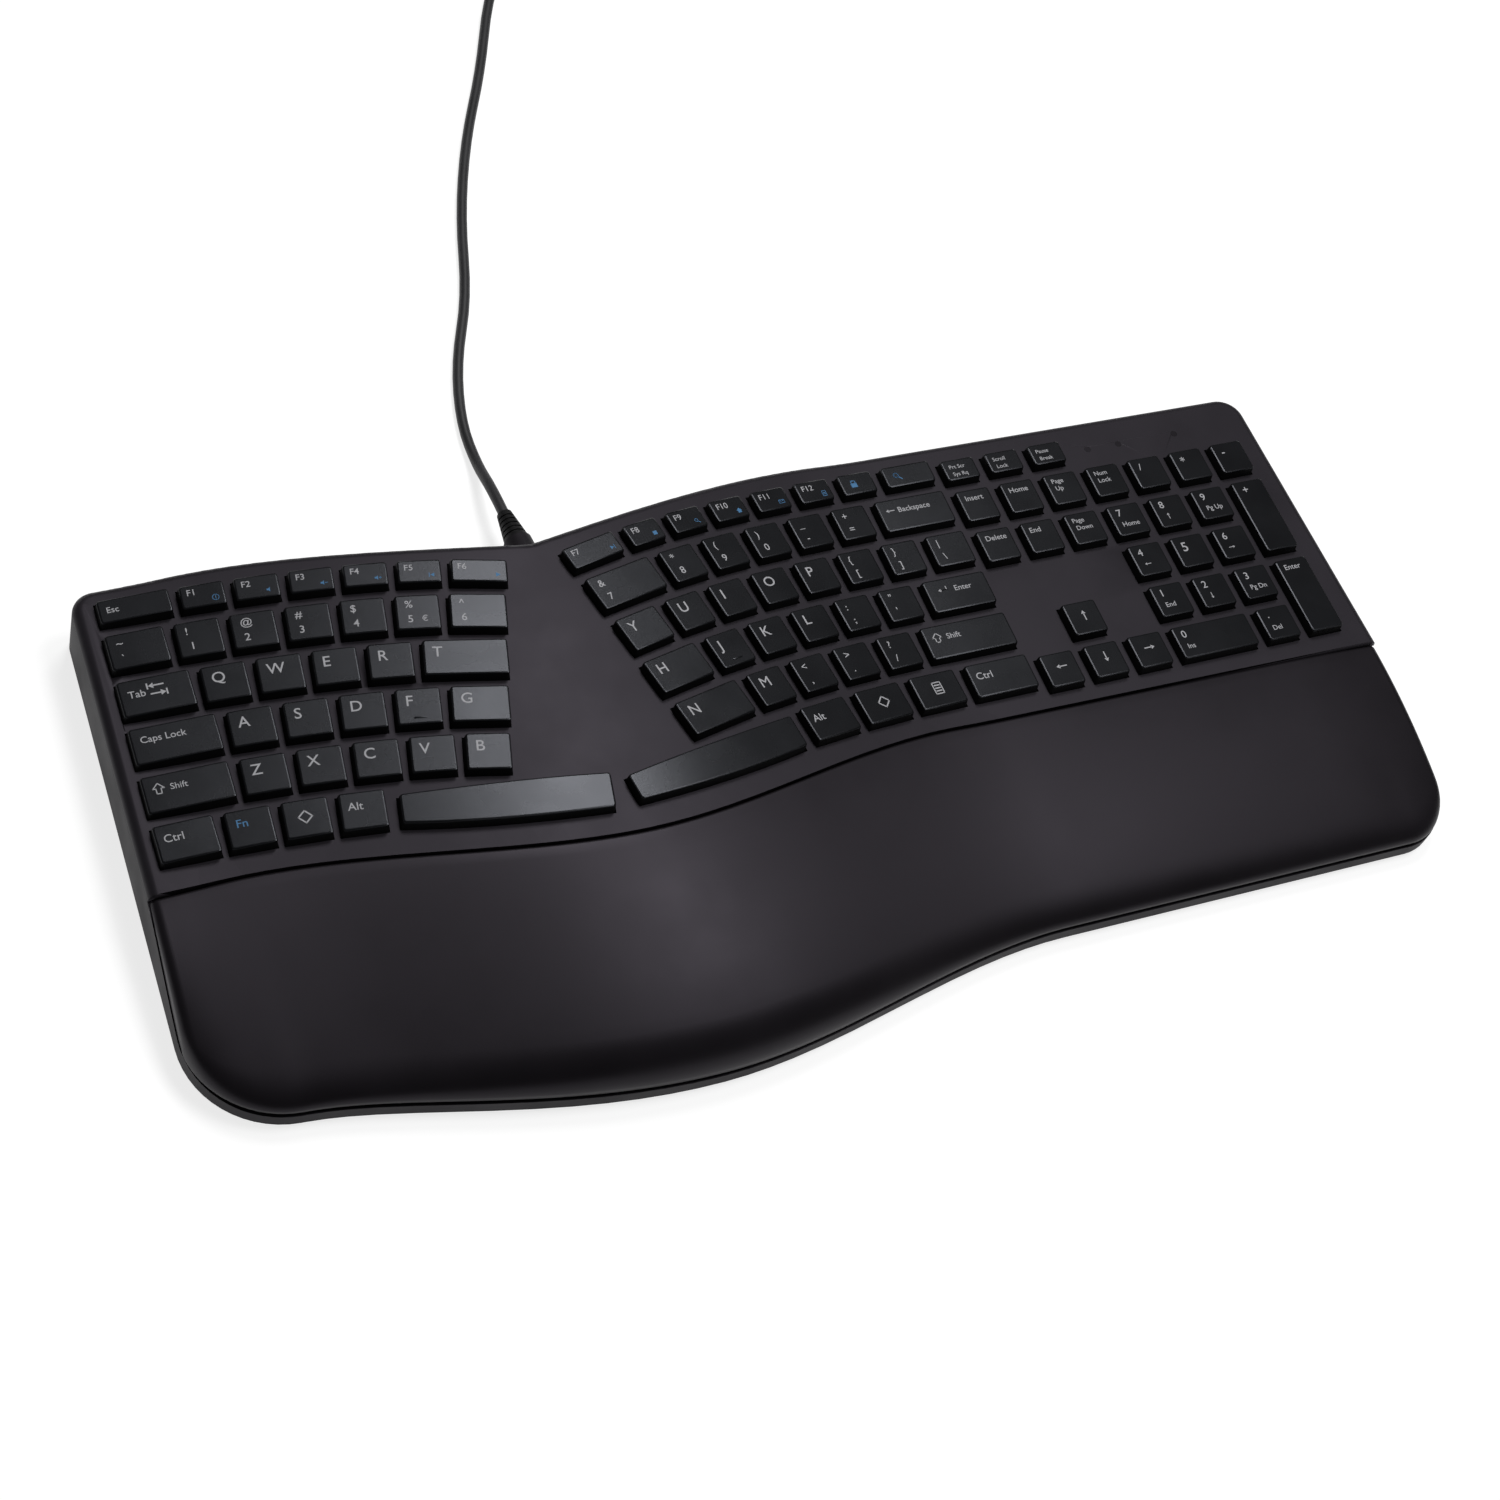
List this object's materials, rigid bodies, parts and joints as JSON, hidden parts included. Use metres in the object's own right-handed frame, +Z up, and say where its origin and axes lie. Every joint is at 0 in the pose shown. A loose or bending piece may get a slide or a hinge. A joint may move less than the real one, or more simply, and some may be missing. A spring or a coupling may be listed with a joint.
{
  "type": "split ergonomic keyboard",
  "caption": "Wired one-piece split keyboard with a raised middle, curved key rows, number pad, built-in cushioned palm rest and fold-out legs under the front.",
  "frame": {"origin": "on the surface that the keyboard stands on, under the middle of the casing's bounding box", "axes": "+X to the user's right along the keyboard's long side, +Y away from the user towards the cable, +Z up"},
  "size_m": [0.4838, 0.5697, 0.041],
  "materials": {
    "case_plastic": "fine matte moulded",
    "deck_plastic": "fine matte moulded",
    "core_plastic": "moulded",
    "palm_skin": "smooth soft-touch skin over foam",
    "key_plastic": "fine matte moulded",
    "plate_steel": "plain sheet",
    "dome_rubber": "moulded silicone",
    "circuit_film": "printed film",
    "board": "solder mask",
    "lens": "smoked clear",
    "boot_rubber": "moulded",
    "cord_jacket": "smooth extruded",
    "tie_plastic": "moulded",
    "plug_plastic": "moulded",
    "plug_steel": "plain stamped",
    "foot_rubber": "moulded",
    "screw_steel": "zinc"
  },
  "bodies": {
    "casing": {"bottom_shell": "case_plastic", "cable_boot": "boot_rubber", "case_screws": "screw_steel", "circuit_sheet": "circuit_film", "coil_tie": "tie_plastic", "controller_board": "board", "cord": "cord_jacket", "cord_coil": "cord_jacket", "cord_tail": "cord_jacket", "dome_sheet": "dome_rubber", "indicator_lenses": "lens", "key_plate": "plate_steel", "palm_core": "core_plastic", "palm_cushion": "palm_skin", "rubber_feet": "foot_rubber", "top_deck": "deck_plastic", "usb_plug_body": "plug_plastic", "usb_plug_shell": "plug_steel"},
    "key_backquote": {"key_backquote": "key_plastic"},
    "key_backslash": {"key_backslash": "key_plastic"},
    "key_backspace": {"key_backspace": "key_plastic"},
    "key_caps_lock": {"key_caps_lock": "key_plastic"},
    "key_control_left": {"key_control_left": "key_plastic"},
    "key_control_right": {"key_control_right": "key_plastic"},
    "key_enter": {"key_enter": "key_plastic"},
    "key_escape": {"key_escape": "key_plastic"},
    "key_shift_left": {"key_shift_left": "key_plastic"},
    "key_shift_right": {"key_shift_right": "key_plastic"},
    "key_space_left": {"key_space_left": "key_plastic"},
    "key_space_right": {"key_space_right": "key_plastic"},
    "key_tab": {"key_tab": "key_plastic"},
    "keys_1_to_6": {"keys_1_to_6": "key_plastic"},
    "keys_7_to_equals": {"keys_7_to_equals": "key_plastic"},
    "keys_a_to_g": {"keys_a_to_g": "key_plastic"},
    "keys_arrows": {"keys_arrows": "key_plastic"},
    "keys_delete_to_page_down": {"keys_delete_to_page_down": "key_plastic"},
    "keys_f1_to_f6": {"keys_f1_to_f6": "key_plastic"},
    "keys_f7_to_f12": {"keys_f7_to_f12": "key_plastic"},
    "keys_function_to_alt": {"keys_function_to_alt": "key_plastic"},
    "keys_h_to_quote": {"keys_h_to_quote": "key_plastic"},
    "keys_insert_to_page_up": {"keys_insert_to_page_up": "key_plastic"},
    "keys_menu_to_alt": {"keys_menu_to_alt": "key_plastic"},
    "keys_n_to_slash": {"keys_n_to_slash": "key_plastic"},
    "keys_print_to_pause": {"keys_print_to_pause": "key_plastic"},
    "keys_q_to_t": {"keys_q_to_t": "key_plastic"},
    "keys_shortcut": {"keys_shortcut": "key_plastic"},
    "keys_y_to_bracket": {"keys_y_to_bracket": "key_plastic"},
    "keys_z_to_b": {"keys_z_to_b": "key_plastic"},
    "pad_key_0": {"pad_key_0": "key_plastic"},
    "pad_key_enter": {"pad_key_enter": "key_plastic"},
    "pad_key_plus": {"pad_key_plus": "key_plastic"},
    "pad_key_point": {"pad_key_point": "key_plastic"},
    "pad_keys_1_to_3": {"pad_keys_1_to_3": "key_plastic"},
    "pad_keys_4_to_6": {"pad_keys_4_to_6": "key_plastic"},
    "pad_keys_7_to_9": {"pad_keys_7_to_9": "key_plastic"},
    "pad_keys_top_row": {"pad_keys_top_row": "key_plastic"},
    "leg_left": {"tilt_leg_left": "case_plastic", "leg_pad_left": "foot_rubber"},
    "leg_right": {"tilt_leg_right": "case_plastic", "leg_pad_right": "foot_rubber"}
  },
  "joints": [
    {"name": "key_backquote_press", "type": "slide", "parent": "casing", "child": "key_backquote", "axis": [0, 0, 1], "range_m": [-0.003, 0], "stiffness_N_per_m": 300, "springref_m": 0.001},
    {"name": "key_backslash_press", "type": "slide", "parent": "casing", "child": "key_backslash", "axis": [0, 0, 1], "range_m": [-0.003, 0], "stiffness_N_per_m": 300, "springref_m": 0.001},
    {"name": "key_backspace_press", "type": "slide", "parent": "casing", "child": "key_backspace", "axis": [0, 0, 1], "range_m": [-0.003, 0], "stiffness_N_per_m": 300, "springref_m": 0.001},
    {"name": "key_caps_lock_press", "type": "slide", "parent": "casing", "child": "key_caps_lock", "axis": [0, 0, 1], "range_m": [-0.003, 0], "stiffness_N_per_m": 300, "springref_m": 0.001},
    {"name": "key_control_left_press", "type": "slide", "parent": "casing", "child": "key_control_left", "axis": [0, 0, 1], "range_m": [-0.003, 0], "stiffness_N_per_m": 300, "springref_m": 0.001},
    {"name": "key_control_right_press", "type": "slide", "parent": "casing", "child": "key_control_right", "axis": [0, 0, 1], "range_m": [-0.003, 0], "stiffness_N_per_m": 300, "springref_m": 0.001},
    {"name": "key_enter_press", "type": "slide", "parent": "casing", "child": "key_enter", "axis": [0, 0, 1], "range_m": [-0.003, 0], "stiffness_N_per_m": 300, "springref_m": 0.001},
    {"name": "key_escape_press", "type": "slide", "parent": "casing", "child": "key_escape", "axis": [0, 0, 1], "range_m": [-0.003, 0], "stiffness_N_per_m": 300, "springref_m": 0.001},
    {"name": "key_shift_left_press", "type": "slide", "parent": "casing", "child": "key_shift_left", "axis": [0, 0, 1], "range_m": [-0.003, 0], "stiffness_N_per_m": 300, "springref_m": 0.001},
    {"name": "key_shift_right_press", "type": "slide", "parent": "casing", "child": "key_shift_right", "axis": [0, 0, 1], "range_m": [-0.003, 0], "stiffness_N_per_m": 300, "springref_m": 0.001},
    {"name": "key_space_left_press", "type": "slide", "parent": "casing", "child": "key_space_left", "axis": [0, 0, 1], "range_m": [-0.003, 0], "stiffness_N_per_m": 300, "springref_m": 0.001},
    {"name": "key_space_right_press", "type": "slide", "parent": "casing", "child": "key_space_right", "axis": [0, 0, 1], "range_m": [-0.003, 0], "stiffness_N_per_m": 300, "springref_m": 0.001},
    {"name": "key_tab_press", "type": "slide", "parent": "casing", "child": "key_tab", "axis": [0, 0, 1], "range_m": [-0.003, 0], "stiffness_N_per_m": 300, "springref_m": 0.001},
    {"name": "keys_1_to_6_press", "type": "slide", "parent": "casing", "child": "keys_1_to_6", "axis": [0, 0, 1], "range_m": [-0.003, 0], "stiffness_N_per_m": 300, "springref_m": 0.001},
    {"name": "keys_7_to_equals_press", "type": "slide", "parent": "casing", "child": "keys_7_to_equals", "axis": [0, 0, 1], "range_m": [-0.003, 0], "stiffness_N_per_m": 300, "springref_m": 0.001},
    {"name": "keys_a_to_g_press", "type": "slide", "parent": "casing", "child": "keys_a_to_g", "axis": [0, 0, 1], "range_m": [-0.003, 0], "stiffness_N_per_m": 300, "springref_m": 0.001},
    {"name": "keys_arrows_press", "type": "slide", "parent": "casing", "child": "keys_arrows", "axis": [0, 0, 1], "range_m": [-0.003, 0], "stiffness_N_per_m": 300, "springref_m": 0.001},
    {"name": "keys_delete_to_page_down_press", "type": "slide", "parent": "casing", "child": "keys_delete_to_page_down", "axis": [0, 0, 1], "range_m": [-0.003, 0], "stiffness_N_per_m": 300, "springref_m": 0.001},
    {"name": "keys_f1_to_f6_press", "type": "slide", "parent": "casing", "child": "keys_f1_to_f6", "axis": [0, 0, 1], "range_m": [-0.003, 0], "stiffness_N_per_m": 300, "springref_m": 0.001},
    {"name": "keys_f7_to_f12_press", "type": "slide", "parent": "casing", "child": "keys_f7_to_f12", "axis": [0, 0, 1], "range_m": [-0.003, 0], "stiffness_N_per_m": 300, "springref_m": 0.001},
    {"name": "keys_function_to_alt_press", "type": "slide", "parent": "casing", "child": "keys_function_to_alt", "axis": [0, 0, 1], "range_m": [-0.003, 0], "stiffness_N_per_m": 300, "springref_m": 0.001},
    {"name": "keys_h_to_quote_press", "type": "slide", "parent": "casing", "child": "keys_h_to_quote", "axis": [0, 0, 1], "range_m": [-0.003, 0], "stiffness_N_per_m": 300, "springref_m": 0.001},
    {"name": "keys_insert_to_page_up_press", "type": "slide", "parent": "casing", "child": "keys_insert_to_page_up", "axis": [0, 0, 1], "range_m": [-0.003, 0], "stiffness_N_per_m": 300, "springref_m": 0.001},
    {"name": "keys_menu_to_alt_press", "type": "slide", "parent": "casing", "child": "keys_menu_to_alt", "axis": [0, 0, 1], "range_m": [-0.003, 0], "stiffness_N_per_m": 300, "springref_m": 0.001},
    {"name": "keys_n_to_slash_press", "type": "slide", "parent": "casing", "child": "keys_n_to_slash", "axis": [0, 0, 1], "range_m": [-0.003, 0], "stiffness_N_per_m": 300, "springref_m": 0.001},
    {"name": "keys_print_to_pause_press", "type": "slide", "parent": "casing", "child": "keys_print_to_pause", "axis": [0, 0, 1], "range_m": [-0.003, 0], "stiffness_N_per_m": 300, "springref_m": 0.001},
    {"name": "keys_q_to_t_press", "type": "slide", "parent": "casing", "child": "keys_q_to_t", "axis": [0, 0, 1], "range_m": [-0.003, 0], "stiffness_N_per_m": 300, "springref_m": 0.001},
    {"name": "keys_shortcut_press", "type": "slide", "parent": "casing", "child": "keys_shortcut", "axis": [0, 0, 1], "range_m": [-0.003, 0], "stiffness_N_per_m": 300, "springref_m": 0.001},
    {"name": "keys_y_to_bracket_press", "type": "slide", "parent": "casing", "child": "keys_y_to_bracket", "axis": [0, 0, 1], "range_m": [-0.003, 0], "stiffness_N_per_m": 300, "springref_m": 0.001},
    {"name": "keys_z_to_b_press", "type": "slide", "parent": "casing", "child": "keys_z_to_b", "axis": [0, 0, 1], "range_m": [-0.003, 0], "stiffness_N_per_m": 300, "springref_m": 0.001},
    {"name": "pad_key_0_press", "type": "slide", "parent": "casing", "child": "pad_key_0", "axis": [0, 0, 1], "range_m": [-0.003, 0], "stiffness_N_per_m": 300, "springref_m": 0.001},
    {"name": "pad_key_enter_press", "type": "slide", "parent": "casing", "child": "pad_key_enter", "axis": [0, 0, 1], "range_m": [-0.003, 0], "stiffness_N_per_m": 300, "springref_m": 0.001},
    {"name": "pad_key_plus_press", "type": "slide", "parent": "casing", "child": "pad_key_plus", "axis": [0, 0, 1], "range_m": [-0.003, 0], "stiffness_N_per_m": 300, "springref_m": 0.001},
    {"name": "pad_key_point_press", "type": "slide", "parent": "casing", "child": "pad_key_point", "axis": [0, 0, 1], "range_m": [-0.003, 0], "stiffness_N_per_m": 300, "springref_m": 0.001},
    {"name": "pad_keys_1_to_3_press", "type": "slide", "parent": "casing", "child": "pad_keys_1_to_3", "axis": [0, 0, 1], "range_m": [-0.003, 0], "stiffness_N_per_m": 300, "springref_m": 0.001},
    {"name": "pad_keys_4_to_6_press", "type": "slide", "parent": "casing", "child": "pad_keys_4_to_6", "axis": [0, 0, 1], "range_m": [-0.003, 0], "stiffness_N_per_m": 300, "springref_m": 0.001},
    {"name": "pad_keys_7_to_9_press", "type": "slide", "parent": "casing", "child": "pad_keys_7_to_9", "axis": [0, 0, 1], "range_m": [-0.003, 0], "stiffness_N_per_m": 300, "springref_m": 0.001},
    {"name": "pad_keys_top_row_press", "type": "slide", "parent": "casing", "child": "pad_keys_top_row", "axis": [0, 0, 1], "range_m": [-0.003, 0], "stiffness_N_per_m": 300, "springref_m": 0.001},
    {"name": "leg_left_fold", "type": "hinge", "parent": "casing", "child": "leg_left", "pos_m": [-0.18585, -0.0396, 0.0052], "axis": [1, 0, 0], "range_deg": [0, 90]},
    {"name": "leg_right_fold", "type": "hinge", "parent": "casing", "child": "leg_right", "pos_m": [0.18015, -0.0396, 0.0052], "axis": [1, 0, 0], "range_deg": [0, 90]}
  ]
}
